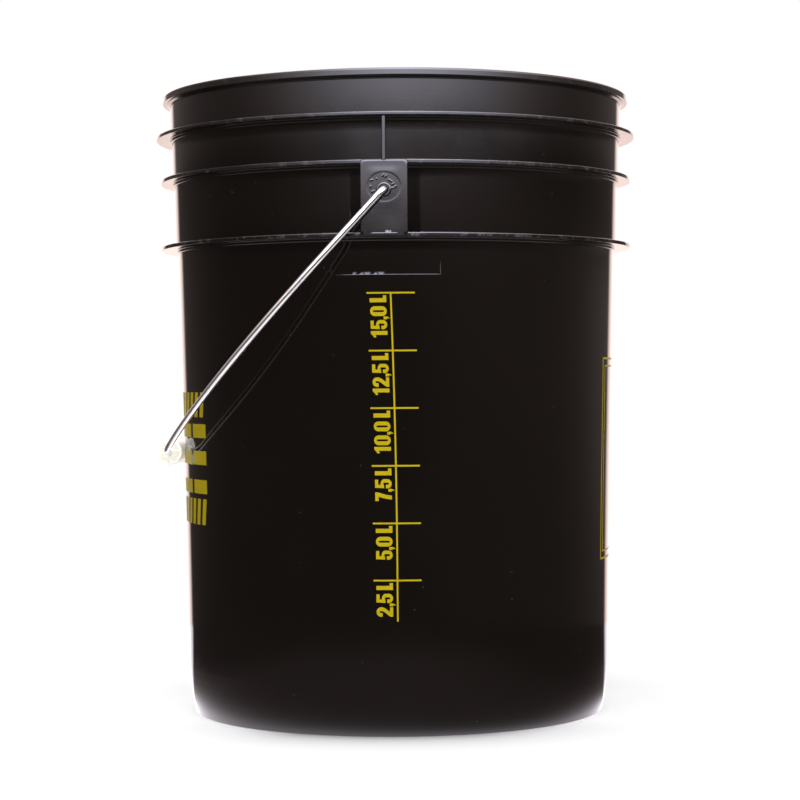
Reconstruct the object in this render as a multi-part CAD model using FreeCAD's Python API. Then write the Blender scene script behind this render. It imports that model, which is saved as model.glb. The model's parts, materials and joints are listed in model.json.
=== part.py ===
import FreeCAD
import Part
import os
from math import atan, cos, degrees, radians, sin

# A wash bucket: a black moulded pail with two ears, a wire bail with a loose plastic grip,
# and screen-printed ink on the wall. Millimetres. The origin is the centre of the foot ring
# on the floor, +Z is up the pail's axis, and the ears stand at -Y and +Y.

# ---------------------------------------------------------------- driving dimensions
RIM_Z = 396.7                # overall height
RIM_R = 150.9                # outside of the rim lip
LIP_HEIGHT = 4.4
LIP_ROUND = 0.8              # edge rounding of the lip
WALL = 2.2                   # wall thickness
NECK_R = 146.4               # outer wall just under the lip
LEDGE_OUT = 2.2              # small slanted ledge close under the lip
LEDGE_HEIGHT = 1.0
LEDGE_EDGE = 0.35            # upright part of the ledge

FOOT_R = 132.4               # outside of the foot ring at the floor
FOOT_BEND = (134.5, 12.0)    # radius and height halfway round the foot's curve
FOOT_TOP = (135.85, 26.0)    # where the foot's curve meets the straight wall
WALL_BEND = (137.0, 110.0)   # the wall's taper opens slightly here
WALL_TOP = (141.2, 298.1)    # the plain wall's line at the lowest flange

# Ring flanges, lowest first: outer radius, top height, thickness, wall radius above
FLANGES = (
    (152.2, 299.8, 2.4, 142.9),
    (152.3, 342.7, 2.4, 144.9),
    (155.3, 370.5, 2.2, 146.0),
)
SHOULDER_OUT = 1.3           # a stepped shoulder carries each flange from below
SHOULDER_HEIGHT = 1.6
WALL_UNDER_FLANGE = (141.2, 143.8, 145.4)   # outer wall below each shoulder

FLOOR_UNDERSIDE = 4.0        # the floor is raised inside the foot ring
FLOOR_THICKNESS = 2.3
FLOOR_FILLET = 6.0
FOOT_WALL = 2.2

PIVOT_Z = 324.8              # height of the bail's pivot axis
EAR_WIDTH = 28.2
EAR_FACE = 152.0             # distance of the ear's flat face from the axis
EAR_DEPTH = 12.0             # the pad and rib are drawn this deep, so that they meet the wall
EAR_CORNER = 2.2             # rounding of the pad's two upper corners
BOSS_R = 4.35
BOSS_PROUD = 0.9
BORE_R = 2.1
BORE_BOTTOM = 145.4          # the pivot hole is blind
MOUTH_R = 2.7                # countersunk mouth of the pivot hole
MOUTH_DEPTH = 0.7
RECESS_R = 9.5               # shallow round recess in the ear's face, round the boss
RECESS_DEPTH = 0.2
RECESS_RISE = 1.7            # the recess's centre lies this far above the pivot
RIB_THICKNESS = 2.5          # upright rib over each ear
RIB_OUT = 152.3
OVERLAP = 1.0                # shapes run this far into or past each other before they are joined

WIRE_R = 2.0
LEG_Y = 157.5                # the bail's legs, from the axis
TURN_R = 4.0                 # bend from the leg into the ear
TIP_Y = 146.0
LEG_STRAIGHT = 38.0          # straight leg below the pivot
SHOULDER_ANGLE = 62.0        # turn of the wide bend, in degrees; the tight bend has the rest
GRIP_STRAIGHT = 29.0         # half of the straight middle
REST_SWING = 43.0            # the bail lies this far out from hanging straight down

GRIP_LENGTH = 54.0
BARREL_R = 8.0
COLLAR_R = 8.7
COLLAR_LENGTH = 2.4
BARREL_WALL = 1.3
HUB_R = 3.6
GRIP_BORE_R = 2.1
WEB_THICKNESS = 1.3
WEB_COUNT = 4
WEB_TURN = 35.0
GRIP_REST_GAP = 0.3          # air left between the resting grip and the wall
SETTLING_ROUNDS = 20         # rounds used to find where the grip comes to rest

INK = 0.12                   # thickness of the ink film
SCALE_LOW_AZIMUTH = 2.4      # the scale's spine at its lowest tick, degrees from the ear toward +X
SCALE_LEAN = 2.9             # how far the printed spine leans toward -X at its top
TICK_Z = (264.7, 230.5, 196.4, 162.1, 127.9, 93.9)
SPINE_BOTTOM = 69.4
LINE_WIDTH = 1.15
TICK_HALF = 14.3
LABELS = ("15,0 L", "12,5 L", "10,0 L", "7,5 L", "5,0 L", "2,5 L")
CAP_HEIGHT = 10.0
STROKE = 2.0
DIGIT_WIDTH = 5.7
NARROW_WIDTH = 4.0           # the figure one and the letter L
COMMA_WIDTH = 1.8
COMMA_DROP = 1.4
LETTER_GAP = 0.6
WORD_GAP = 1.2
BASELINE_OFFSET = 2.7        # from the spine to the labels' baseline
LABEL_DROP = 1.5             # from a tick down to the end of its label

STRIPE_CENTRE = -88.8        # side print, degrees from the ear at -Y toward +X
STRIPE_HALF = 31.8
HATCH_BANDS = ((190.6, 206.2), (123.1, 139.3))
HATCH_PITCH = 9.0
HATCH_WIDTH = 5.2
HATCH_SLANT = 8.5            # degrees from upright
BLOCK_BANDS = ((177.6, 186.3), (160.7, 169.4), (142.6, 151.3))
BLOCK_COUNT = 6
BLOCK_GAP = 1.9              # degrees between blocks
FRAME_CENTRE = 91.2
FRAME_HALF = 19.6
FRAME_Z = (98.5, 226.6)
FRAME_LINES = ((0.0, 1.3), (4.8, 1.0))   # inset from the edge, line width

Z_AXIS = FreeCAD.Vector(0, 0, 1)
Y_AXIS = FreeCAD.Vector(0, 1, 0)
ORIGIN = FreeCAD.Vector(0, 0, 0)


# ---------------------------------------------------------------- small helpers
def point(radius, height):
    return FreeCAD.Vector(radius, 0, height)


def line(a, b):
    return Part.LineSegment(a, b).toShape()


def arc(a, b, c):
    return Part.Arc(a, b, c).toShape()


def chain(points):
    return [line(a, b) for a, b in zip(points, points[1:])]


def turned(edges):
    """Solid of revolution about Z from the edges of a closed half section."""
    face = Part.Face(Part.Wire(edges))
    return face.revolve(ORIGIN, Z_AXIS, 360)


def cylinder_y(radius, y_low, y_high, height):
    return Part.makeCylinder(radius, y_high - y_low, FreeCAD.Vector(0, y_low, height), Y_AXIS)


def wall_radius(height):
    """Outer radius of the plain wall below the lowest flange."""
    low = FOOT_TOP if height < WALL_BEND[1] else WALL_BEND
    high = WALL_BEND if height < WALL_BEND[1] else WALL_TOP
    share = (height - low[1]) / (high[1] - low[1])
    return low[0] + share * (high[0] - low[0])


# ---------------------------------------------------------------- moulded shell
def flange_points():
    points = []
    for (radius, top, thick, above), below in zip(FLANGES, WALL_UNDER_FLANGE):
        bottom = top - thick
        points += [
            point(below, bottom - SHOULDER_HEIGHT),
            point(below + SHOULDER_OUT, bottom - SHOULDER_HEIGHT),
            point(below + SHOULDER_OUT, bottom),
            point(radius, bottom),
            point(radius, top),
            point(above, top),
        ]
    return points


def outer_body():
    foot = [
        line(ORIGIN, point(FOOT_R, 0)),
        arc(point(FOOT_R, 0), point(*FOOT_BEND), point(*FOOT_TOP)),
    ]
    lip_bottom = RIM_Z - LIP_HEIGHT
    outline = [point(*FOOT_TOP), point(*WALL_BEND)]
    outline += flange_points()
    outline += [
        point(NECK_R, lip_bottom - LEDGE_HEIGHT),
        point(NECK_R + LEDGE_OUT, lip_bottom - LEDGE_EDGE),
        point(NECK_R + LEDGE_OUT, lip_bottom),
        point(RIM_R - LIP_ROUND, lip_bottom),
        point(RIM_R, lip_bottom + LIP_ROUND),
        point(RIM_R, RIM_Z - LIP_ROUND),
        point(RIM_R - LIP_ROUND, RIM_Z),
        point(0, RIM_Z),
        ORIGIN,
    ]
    return turned(foot + chain(outline))


def cavity():
    """The space inside the pail, cut out of the outer body."""
    floor_top = FLOOR_UNDERSIDE + FLOOR_THICKNESS
    corner_r = FOOT_BEND[0] - WALL
    corner_z = floor_top + FLOOR_FILLET
    dip = FLOOR_FILLET * (1 - sin(radians(45)))
    corner = [
        line(point(0, floor_top), point(corner_r - FLOOR_FILLET, floor_top)),
        arc(
            point(corner_r - FLOOR_FILLET, floor_top),
            point(corner_r - dip, floor_top + dip),
            point(corner_r, corner_z),
        ),
    ]
    low, middle, high = FLANGES
    wall = [
        point(corner_r, corner_z),
        point(FOOT_TOP[0] - WALL, FOOT_TOP[1]),
        point(WALL_BEND[0] - WALL, WALL_BEND[1]),
        point(WALL_TOP[0] - WALL, WALL_TOP[1] - SHOULDER_HEIGHT),
        point(low[3] - WALL, low[1] + SHOULDER_HEIGHT),
        point(middle[3] - WALL, middle[1]),
        point(high[3] - WALL, high[1]),
        point(NECK_R - WALL, RIM_Z + OVERLAP),
        point(0, RIM_Z + OVERLAP),
        point(0, floor_top),
    ]
    return turned(corner + chain(wall))


def underside():
    return Part.makeCylinder(
        FOOT_R - FOOT_WALL, FLOOR_UNDERSIDE + OVERLAP, point(0, -OVERLAP)
    )


def ear():
    """Flat pad with its round recess and boss, and the upper rib, of the ear at -Y."""
    low, middle, high = FLANGES
    pad_bottom = low[1] - low[2]
    pad = Part.makeBox(
        EAR_WIDTH, EAR_DEPTH, middle[1] - pad_bottom,
        FreeCAD.Vector(-EAR_WIDTH / 2, -EAR_FACE, pad_bottom),
    )
    upper_corners = []
    for edge in pad.Edges:
        first, last = edge.Vertexes
        at_top = min(first.Z, last.Z) > PIVOT_Z and abs(first.Z - last.Z) < OVERLAP
        if at_top and abs(first.X - last.X) < OVERLAP:
            upper_corners.append(edge)
    pad = pad.makeFillet(EAR_CORNER, upper_corners)
    recess_back = -EAR_FACE + RECESS_DEPTH
    pad = pad.cut(cylinder_y(RECESS_R, -EAR_FACE - OVERLAP, recess_back, PIVOT_Z + RECESS_RISE))
    rib_bottom = middle[1] - OVERLAP
    rib = Part.makeBox(
        RIB_THICKNESS, EAR_DEPTH, high[1] - high[2] + OVERLAP - rib_bottom,
        FreeCAD.Vector(-RIB_THICKNESS / 2, -RIB_OUT, rib_bottom),
    )
    boss = cylinder_y(BOSS_R, -EAR_FACE - BOSS_PROUD, -EAR_FACE + OVERLAP, PIVOT_Z)
    return pad.multiFuse([rib, boss])


def pivot_hole():
    front = -EAR_FACE - BOSS_PROUD
    hole = cylinder_y(BORE_R, front - OVERLAP, -BORE_BOTTOM, PIVOT_Z)
    mouth = Part.makeCone(
        MOUTH_R, BORE_R, MOUTH_DEPTH, FreeCAD.Vector(0, front, PIVOT_Z), Y_AXIS
    )
    return hole.fuse(mouth)


def both_ears(shape):
    """The shape made for the ear at -Y, and its copy at +Y."""
    other = shape.copy()
    other.rotate(ORIGIN, Z_AXIS, 180)
    return [shape, other]


def bucket_shell():
    body = outer_body().multiFuse(both_ears(ear()))
    return body.cut([cavity(), underside()] + both_ears(pivot_hole())).removeSplitter()


# ---------------------------------------------------------------- bail and grip
def grip_depth():
    """Distance from the pivot axis to the grip's axis, set by the grip resting on the wall.

    The wall tapers, so the depth is found in a few rounds, each from the height of the last.
    """
    depth = LEG_Y
    for _ in range(SETTLING_ROUNDS):
        height = PIVOT_Z - depth * cos(radians(REST_SWING))
        reach = wall_radius(height) + BARREL_R + GRIP_REST_GAP
        depth = reach / sin(radians(REST_SWING))
    return depth


def bail_bend_radii(depth):
    """Radii of the wide and the tight bend that join the leg to the straight middle."""
    across = LEG_Y - GRIP_STRAIGHT
    down = depth - LEG_STRAIGHT
    s = sin(radians(SHOULDER_ANGLE))
    c = cos(radians(SHOULDER_ANGLE))
    # across = wide (1 - c) + tight c ; down = wide s + tight (1 - s)
    determinant = (1 - c) * (1 - s) - c * s
    wide = (across * (1 - s) - c * down) / determinant
    tight = ((1 - c) * down - s * across) / determinant
    return wide, tight


def half_bail_edges(depth):
    """Centreline of the bail's -Y half, hanging straight down, from tip to the middle."""
    wide, tight = bail_bend_radii(depth)

    def on(y, drop):
        return FreeCAD.Vector(0, y, PIVOT_Z - drop)

    def bend(centre_y, centre_drop, radius, angle):
        a = radians(angle)
        return on(centre_y - radius * cos(a), centre_drop + radius * sin(a))

    turn_y = -LEG_Y + TURN_R
    wide_y = -LEG_Y + wide
    tight_y = wide_y - (wide - tight) * cos(radians(SHOULDER_ANGLE))
    tight_drop = LEG_STRAIGHT + (wide - tight) * sin(radians(SHOULDER_ANGLE))
    tight_middle = (SHOULDER_ANGLE + 90) / 2
    return [
        line(on(-TIP_Y, 0), on(turn_y, 0)),
        arc(on(turn_y, 0), bend(turn_y, TURN_R, TURN_R, -45), on(-LEG_Y, TURN_R)),
        line(on(-LEG_Y, TURN_R), on(-LEG_Y, LEG_STRAIGHT)),
        arc(
            on(-LEG_Y, LEG_STRAIGHT),
            bend(wide_y, LEG_STRAIGHT, wide, SHOULDER_ANGLE / 2),
            bend(wide_y, LEG_STRAIGHT, wide, SHOULDER_ANGLE),
        ),
        arc(
            bend(tight_y, tight_drop, tight, SHOULDER_ANGLE),
            bend(tight_y, tight_drop, tight, tight_middle),
            on(-GRIP_STRAIGHT, depth),
        ),
        line(on(-GRIP_STRAIGHT, depth), on(0, depth)),
    ]


def swung(shape):
    """Swing a hanging shape about the pivot axis to where it rests against the wall."""
    shape.rotate(FreeCAD.Vector(0, 0, PIVOT_Z), Y_AXIS, REST_SWING)
    return shape


def bail_wire(depth):
    path = Part.Wire(half_bail_edges(depth))
    section = Part.Wire(
        Part.Circle(FreeCAD.Vector(0, -TIP_Y, PIVOT_Z), Y_AXIS, WIRE_R).toShape()
    )
    half = path.makePipeShell([section], True, False)
    other = half.mirror(ORIGIN, Y_AXIS)
    return swung(half.fuse(other).removeSplitter())


def hand_grip(depth):
    axis_z = PIVOT_Z - depth
    half = GRIP_LENGTH / 2
    shape = cylinder_y(BARREL_R, -half, half, axis_z)
    for start in (-half, half - COLLAR_LENGTH):
        shape = shape.fuse(cylinder_y(COLLAR_R, start, start + COLLAR_LENGTH, axis_z))
    shape = shape.cut(cylinder_y(BARREL_R - BARREL_WALL, -half, half, axis_z))
    hub = cylinder_y(HUB_R, -half, half, axis_z)
    web_reach = BARREL_R - BARREL_WALL / 2
    webs = []
    for index in range(WEB_COUNT):
        web = Part.makeBox(
            web_reach, GRIP_LENGTH, WEB_THICKNESS,
            FreeCAD.Vector(0, -half, axis_z - WEB_THICKNESS / 2),
        )
        turn = WEB_TURN + index * 360 / WEB_COUNT
        web.rotate(FreeCAD.Vector(0, 0, axis_z), Y_AXIS, turn)
        webs.append(web)
    shape = shape.multiFuse([hub] + webs)
    shape = shape.cut(cylinder_y(GRIP_BORE_R, -half - OVERLAP, half + OVERLAP, axis_z))
    return swung(shape.removeSplitter())


# ---------------------------------------------------------------- ink on the wall
def film(z_low, z_high, azimuth_low, azimuth_high):
    """Ink film on the wall. Azimuths in degrees from -Y toward +X."""
    heights = [z_low, z_high]
    if z_low < WALL_BEND[1] < z_high:
        heights.insert(1, WALL_BEND[1])
    inside = [point(wall_radius(z), z) for z in heights]
    outside = [point(wall_radius(z) + INK, z) for z in reversed(heights)]
    outline = inside + outside
    face = Part.Face(Part.Wire(chain(outline + outline[:1])))
    shape = face.revolve(ORIGIN, Z_AXIS, azimuth_high - azimuth_low)
    shape.rotate(ORIGIN, Z_AXIS, azimuth_low - 90)
    return shape


def arc_degrees(length, height):
    return degrees(length / wall_radius(height))


def scale_azimuth(height):
    """The spine of the scale is straight low down and leans toward -X higher up."""
    share = (height - TICK_Z[-1]) / (TICK_Z[0] - TICK_Z[-1])
    return SCALE_LOW_AZIMUTH - arc_degrees(SCALE_LEAN * share * abs(share), height)


def graduation_lines():
    """Ticks, and between them the spine's runs, each turned to the spine's place at its middle."""
    half_line = LINE_WIDTH / 2
    pieces = []
    for z, below in zip(TICK_Z, TICK_Z[1:] + (SPINE_BOTTOM,)):
        middle = scale_azimuth(z)
        reach = arc_degrees(TICK_HALF, z)
        pieces.append(film(z - half_line, z + half_line, middle - reach, middle + reach))
        run_middle = scale_azimuth((z + below) / 2)
        half = arc_degrees(half_line, z)
        pieces.append(film(below, z, run_middle - half, run_middle + half))
    return pieces[0].multiFuse(pieces[1:]).removeSplitter()


def glyph_width(character):
    if character == " ":
        return WORD_GAP
    if character == ",":
        return COMMA_WIDTH
    return NARROW_WIDTH if character in "1L" else DIGIT_WIDTH


def glyph_strokes(character):
    """Rectangles (x low, x high, y low, y high) that draw a character on its baseline."""
    width = glyph_width(character)
    top = CAP_HEIGHT
    middle = (CAP_HEIGHT - STROKE) / 2
    bars = {
        "bottom": (0, width, 0, STROKE),
        "middle": (0, width, middle, middle + STROKE),
        "top": (0, width, top - STROKE, top),
        "left_low": (0, STROKE, 0, middle + STROKE),
        "left_high": (0, STROKE, middle, top),
        "right_low": (width - STROKE, width, 0, middle + STROKE),
        "right_high": (width - STROKE, width, middle, top),
        "flag": (0, width, top - STROKE, top),
        "tail": (0, COMMA_WIDTH, -COMMA_DROP, STROKE),
    }
    used = {
        "0": ("bottom", "top", "left_low", "left_high", "right_low", "right_high"),
        "1": ("flag", "right_low", "right_high"),
        "2": ("bottom", "middle", "top", "left_low", "right_high"),
        "5": ("bottom", "middle", "top", "left_high", "right_low"),
        "7": ("top", "right_low", "right_high"),
        "L": ("bottom", "left_low", "left_high"),
        ",": ("tail",),
        " ": (),
    }
    return [bars[name] for name in used[character]]


def label_length(text):
    return sum(glyph_width(c) for c in text) + LETTER_GAP * (len(text) - 1)


def graduation_numerals():
    """Volume labels that read upward, their baselines along the left of the spine."""
    glyphs = []
    for text, tick in zip(LABELS, TICK_Z):
        start = tick - LABEL_DROP - label_length(text)
        for character in text:
            strokes = []
            middle = scale_azimuth(start + glyph_width(character) / 2)
            for x_low, x_high, y_low, y_high in glyph_strokes(character):
                near = middle - arc_degrees(BASELINE_OFFSET + y_low, start)
                far = middle - arc_degrees(BASELINE_OFFSET + y_high, start)
                strokes.append(film(start + x_low, start + x_high, far, near))
            if strokes:
                glyphs.append(strokes[0].multiFuse(strokes[1:]) if len(strokes) > 1 else strokes[0])
            start += glyph_width(character) + LETTER_GAP
    return Part.makeCompound(glyphs)


def hatched_band(z_low, z_high):
    """A row of slanted stripes."""
    pitch = arc_degrees(HATCH_PITCH, z_low)
    count = int(2 * STRIPE_HALF / pitch)
    middle_z = (z_low + z_high) / 2
    height = (z_high - z_low) * 2
    depth = HATCH_WIDTH * 4
    margin = 1.5 * pitch
    stripes = []
    for index in range(count):
        azimuth = STRIPE_CENTRE + (index - (count - 1) / 2) * pitch
        stripe = Part.makeBox(
            HATCH_WIDTH, depth, height,
            FreeCAD.Vector(
                -HATCH_WIDTH / 2, -wall_radius(middle_z) - depth / 2, middle_z - height / 2
            ),
        )
        stripe.rotate(FreeCAD.Vector(0, 0, middle_z), Y_AXIS, HATCH_SLANT)
        stripe.rotate(ORIGIN, Z_AXIS, azimuth)
        stripes.append(film(z_low, z_high, azimuth - margin, azimuth + margin).common(stripe))
    return stripes


def side_stripe_print():
    """Three rows of plain blocks between two bands of slanted stripes."""
    pieces = []
    for z_low, z_high in HATCH_BANDS:
        pieces += hatched_band(z_low, z_high)
    width = (2 * STRIPE_HALF + BLOCK_GAP) / BLOCK_COUNT - BLOCK_GAP
    for z_low, z_high in BLOCK_BANDS:
        for index in range(BLOCK_COUNT):
            start = STRIPE_CENTRE - STRIPE_HALF + index * (width + BLOCK_GAP)
            pieces.append(film(z_low, z_high, start, start + width))
    return Part.makeCompound(pieces)


def side_frame_print():
    """Two plain rectangles, one inside the other."""
    z_low, z_high = FRAME_Z
    pieces = []
    for inset, width in FRAME_LINES:
        turn = arc_degrees(inset, z_high)
        thick = arc_degrees(width, z_high)
        left = FRAME_CENTRE - FRAME_HALF + turn
        right = FRAME_CENTRE + FRAME_HALF - turn
        bottom = z_low + inset
        top = z_high - inset
        sides = [
            film(bottom, top, left, left + thick),
            film(bottom, top, right - thick, right),
            film(top - width, top, left, right),
        ]
        pieces.append(film(bottom, bottom + width, left, right).multiFuse(sides))
    return Part.makeCompound(pieces)


# ---------------------------------------------------------------- export
depth = grip_depth()
nodes = {
    "bucket_shell": bucket_shell(),
    "bail_wire": bail_wire(depth),
    "hand_grip": hand_grip(depth),
    "graduation_lines": graduation_lines(),
    "graduation_numerals": graduation_numerals(),
    "side_stripe_print": side_stripe_print(),
    "side_frame_print": side_frame_print(),
}
os.makedirs("parts", exist_ok=True)
for name, shape in nodes.items():
    shape.exportStep("parts/" + name + ".step")
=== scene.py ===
import json
from math import asin, atan2, ceil, copysign, cos, exp, floor, hypot, pi, radians, sin, sqrt, tan

import bmesh
import bpy
import numpy as np
from mathutils import Matrix, Vector


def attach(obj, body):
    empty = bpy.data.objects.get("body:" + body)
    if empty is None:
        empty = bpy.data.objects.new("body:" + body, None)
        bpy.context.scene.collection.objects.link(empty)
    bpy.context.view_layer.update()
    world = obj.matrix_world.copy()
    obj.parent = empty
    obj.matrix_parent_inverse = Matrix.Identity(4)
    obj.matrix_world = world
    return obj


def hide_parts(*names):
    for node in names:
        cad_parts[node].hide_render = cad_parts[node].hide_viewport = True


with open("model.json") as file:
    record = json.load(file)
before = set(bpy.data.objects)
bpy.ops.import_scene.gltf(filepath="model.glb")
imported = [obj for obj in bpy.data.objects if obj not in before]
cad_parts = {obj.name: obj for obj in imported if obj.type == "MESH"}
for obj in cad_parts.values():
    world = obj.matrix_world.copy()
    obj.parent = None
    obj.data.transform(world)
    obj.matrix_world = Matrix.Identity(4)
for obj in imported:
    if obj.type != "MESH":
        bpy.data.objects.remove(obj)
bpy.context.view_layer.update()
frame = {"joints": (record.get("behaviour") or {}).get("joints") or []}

# A black moulded wash bucket with a wire bail, a loose plastic grip and screen-printed ink.
# Shapes are worked out in millimetres and stored in metres. Azimuths run from -Y toward +X.
MM = 0.001
joints = {joint["name"]: joint for joint in frame["joints"]}
PIVOT_Z = joints["bail_swing"]["pos_m"][2] / MM
GRIP_X, _, GRIP_Z = (value / MM for value in joints["grip_spin"]["pos_m"])

# ---- dimensions, millimetres
SHARP_ANGLE = 35  # degrees between faces from which an edge is shaded as sharp
SEGMENTS = 320  # even facets round the pail, beside the finer ones at the ears
ROW_STEP = 8.0  # rows of facets up the walls
ARC_STEPS = 4  # facets along each rounded edge

RIM_Z = 396.7
RIM_R = 150.9
NECK_R = 146.4
INNER_RIM_R = 144.2
RIM_SAG = 0.85  # the rim hangs this much lower at the sides
LIP_BOTTOM = 392.3
LEDGE_BOTTOM = 391.3  # a slanted ledge runs from here up to the lip
LEDGE_R = 148.6
# Ring flanges, lowest first: outer radius, top, thickness, wall radius below, wall radius above
FLANGES = (
    (152.2, 299.8, 2.4, 141.2, 142.9),
    (152.3, 342.7, 2.4, 143.8, 144.9),
    (155.1, 370.5, 2.2, 145.4, 146.0),
)
SHOULDER_OUT = 1.3
SHOULDER_HEIGHT = 1.6
SHOULDER_LEAN = 0.1
FLARE = 0.13  # the wall opens slightly just under each shoulder
FLARE_HEIGHT = 6.0
FLARE_STEPS = 5
WALL_FOOT_Z = 26.0
WALL_FOOT_R = 136.0
LOW_TAPER = 0.011905
HIGH_TAPER = 0.022335
TAPER_CHANGE_Z = 110.0
TAPER_BLEND = 60.0
FOOT_CURVE = 3.3  # the foot draws in by this much below FOOT_CURVE_Z
FOOT_CURVE_Z = 33.0
FOOT_ROWS = (2, 4, 6, 8, 10, 13, 16, 20, 25, 30)
WALL_ROWS = 32
FOOT_INNER_R = 130.2
FLOOR_UNDERSIDE = 4.0
FLOOR_TOP = 6.3
FLOOR_FILLET = 6.0
WALL = 2.2
INNER_WALL = (
    (132.3, 12.3), (133.65, 26.0), (134.8, 110.0), (139.0, 293.5),
    (140.7, 304.4), (142.7, 342.7), (143.8, 370.5), (INNER_RIM_R, RIM_Z),
)

EAR_HALF_WIDTH = 14.1
EAR_FACE = 152.0
EAR_TOP = 342.6
EAR_BOTTOM = 298.2
EAR_CORNER = 2.2
EAR_EDGE = 0.7
EAR_POINTS = 224
EAR_PANEL = 20.6  # half width of the slightly steeper panel behind each pad
PANEL_SLOPE = 0.016
PANEL_EDGE = 0.5
EDGE_BEHIND_PAD = 0.7  # the middle flange is drawn back this far behind the pads
WALL_WAVE = 0.035  # unevenness of the walls, and of the flange edges out and up
EDGE_WAVE_OUT = 0.06
EDGE_WAVE_UP = 0.05
BOSS_R = 4.35
BOSS_PROUD = 0.9
BORE_R = 2.1
BORE_BOTTOM = 145.4
MOUTH_R = 2.7
MOUTH_DEPTH = 0.7
MARK_HALF = (10.0, 8.8)  # half width and half height of the shallow round recess
MARK_RISE = 1.8
MARK_DEPTH = 0.018
MARK_SHARPNESS = 60
FACE_REACH = 12.2  # even rings run this far out from the pivot
FACE_SPREAD = 10  # rings from there to the pad's outline
# Small raised dashes inside the round recess: x, z from the pivot, length, lean in radians
PAD_MARKS = (
    (-7.2, 5.6, 1.4, 0.2), (-4.2, 6.4, 0.3, 0.0), (-0.4, 8.4, 1.3, 0.9), (1.2, 7.9, 1.3, 0.9),
    (3.2, 5.6, 0.9, -0.7), (4.6, 4.8, 0.9, -0.7), (5.4, 3.3, 1.2, 0.5), (4.9, 0.9, 1.3, 0.1),
    (6.8, 1.6, 1.0, 1.2), (-7.8, 1.8, 1.0, 1.4), (-6.3, -1.0, 1.2, 0.6),
)
DASH_RISE = 0.07
RIB_HALF = 1.2
RIB_OUT = 152.3

WITNESS_HALF_WIDTH = 33.0  # lines beside and under each ear
WITNESS_BOTTOM = 275.5
WITNESS_HALF_LINE = 0.2
WITNESS_RISE = 0.05

WIRE_R = 2.0
LEG_Y = 157.5
TURN_R = 4.0
TIP_Y = 146.0
LEG_STRAIGHT = 38.0
SHOULDER_ANGLE = 62.0  # turn of the wide bend; the tight bend turns the rest
SHOULDER_SIN = sin(radians(SHOULDER_ANGLE))
SHOULDER_COS = cos(radians(SHOULDER_ANGLE))
GRIP_STRAIGHT = 29.0
WIRE_SIDES = 32
TIP_STEPS = ((0.0, 0.78), (0.2, 0.93), (0.5, 1.0))  # along, share of the radius

GRIP_LENGTH = 54.0
BARREL_R = 8.0
COLLAR_R = 8.7
COLLAR_LENGTH = 2.4
BARREL_WALL = 1.3
HUB_R = 3.6
GRIP_BORE_R = 2.1
WEB_THICKNESS = 1.3
WEB_COUNT = 4
WEB_TURN = 35.0
BARREL_SIDES = 96
BORE_SIDES = 48
POCKET_STEPS = 12  # along each of a pocket's two arcs

INK_TOP = 0.12
INK_SUNK = 0.05  # the film's underside lies this far inside the wall
SLICE_ROUND = 3.0  # films are cut into strips this wide and this tall to bend them
SLICE_UP = 12.0
SCALE_AZIMUTH = 2.6  # degrees from the ear to the scale's spine at its lowest tick
SCALE_OFFSET = -0.5
SCALE_LEAN = 2.9  # how far the spine stands toward -X of its foot at its top
TICK_Z = (264.7, 230.5, 196.4, 162.1, 127.9, 93.9)
SPINE_BOTTOM = 69.4
LINE_WIDTH = 1.0
TICK_HALF = 14.3
LABELS = ("15,0 L", "12,5 L", "10,0 L", "7,5 L", "5,0 L", "2,5 L")
LABEL_DROP = 1.5
BASELINE_OFFSET = 2.7
CAP_HEIGHT = 9.9

STRIPE_CENTRE = -88.8
STRIPE_HALF = 31.8
HATCH_BANDS = ((190.6, 206.2), (123.1, 139.3))
HATCH_PITCH = 9.0
HATCH_WIDTH = 5.2
HATCH_SLANT = 8.5
BLOCK_BANDS = ((177.6, 186.3), (160.7, 169.4), (142.6, 151.3))
BLOCK_COUNT = 6
BLOCK_GAP = 1.9  # degrees between blocks
FRAME_CENTRE = 91.2
FRAME_HALF = 19.6
FRAME_Z = (98.5, 226.6)
FRAME_LINES = ((0.0, 1.3), (4.8, 1.0))  # inset from the edge, line width

# ---- colours
SHELL_DEEP = (0.0042, 0.0030, 0.0023, 1)
SHELL_PALE = (0.0060, 0.0043, 0.0034, 1)
SHELL_DUST = (0.12, 0.11, 0.11, 1)
SHELL_WORN = (0.10, 0.095, 0.095, 1)
INK_DEEP = (0.36, 0.275, 0.001, 1)
INK_BRIGHT = (0.48, 0.365, 0.002, 1)
INK_THIN = (0.24, 0.19, 0.004, 1)
# painted shade: ink colour toward the sides of the pail
INK_SIDE_PAINTED_SHADE = (0.07, 0.05, 0.003, 1)
WIRE_BRIGHT = (0.86, 0.85, 0.84, 1)
WIRE_DULL = (0.66, 0.65, 0.64, 1)
# painted reflection: the colour the wire shows to glossy rays
WIRE_PAINTED_REFLECTION = (0.10, 0.10, 0.10, 1)
GRIP_DEEP = (0.87, 0.85, 0.79, 1)
GRIP_PALE = (0.93, 0.92, 0.88, 1)
PAPER_DEEP = (0.86, 0.86, 0.86, 1)
PAPER_PALE = (0.90, 0.90, 0.90, 1)
# tints of the painted glow that glossy rays see in place of the table
GLOW_DIM = (1.0, 0.80, 0.78, 1)
GLOW_FULL = (1.0, 0.93, 1.0, 1)
STUDIO_WARM = (1.0, 0.80, 0.74, 1)
STUDIO_COOL = (0.95, 0.94, 1.13, 1)

# ---- stage, metres
TABLE_R = 0.6
TABLE_Y = -0.05
TABLE_THICK = 0.012
TABLE_SIDES = 128
BOX_DIRECTION = (0.139, -0.990, 0.0)  # from the pail to the soft box in front
SHEET_DIRECTION = (-0.035, 1.0, 0.0)  # and to the sheet behind
OVERHEAD_PLACE = (-0.15, 0.1, 1.9)
OVERHEAD_SIZE = 2.2
OVERHEAD_WATTS = 33.0


# ---- mesh helpers
def new_object(name, data):
    thing = bpy.data.objects.new(name, data)
    bpy.context.scene.collection.objects.link(thing)
    return thing


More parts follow.
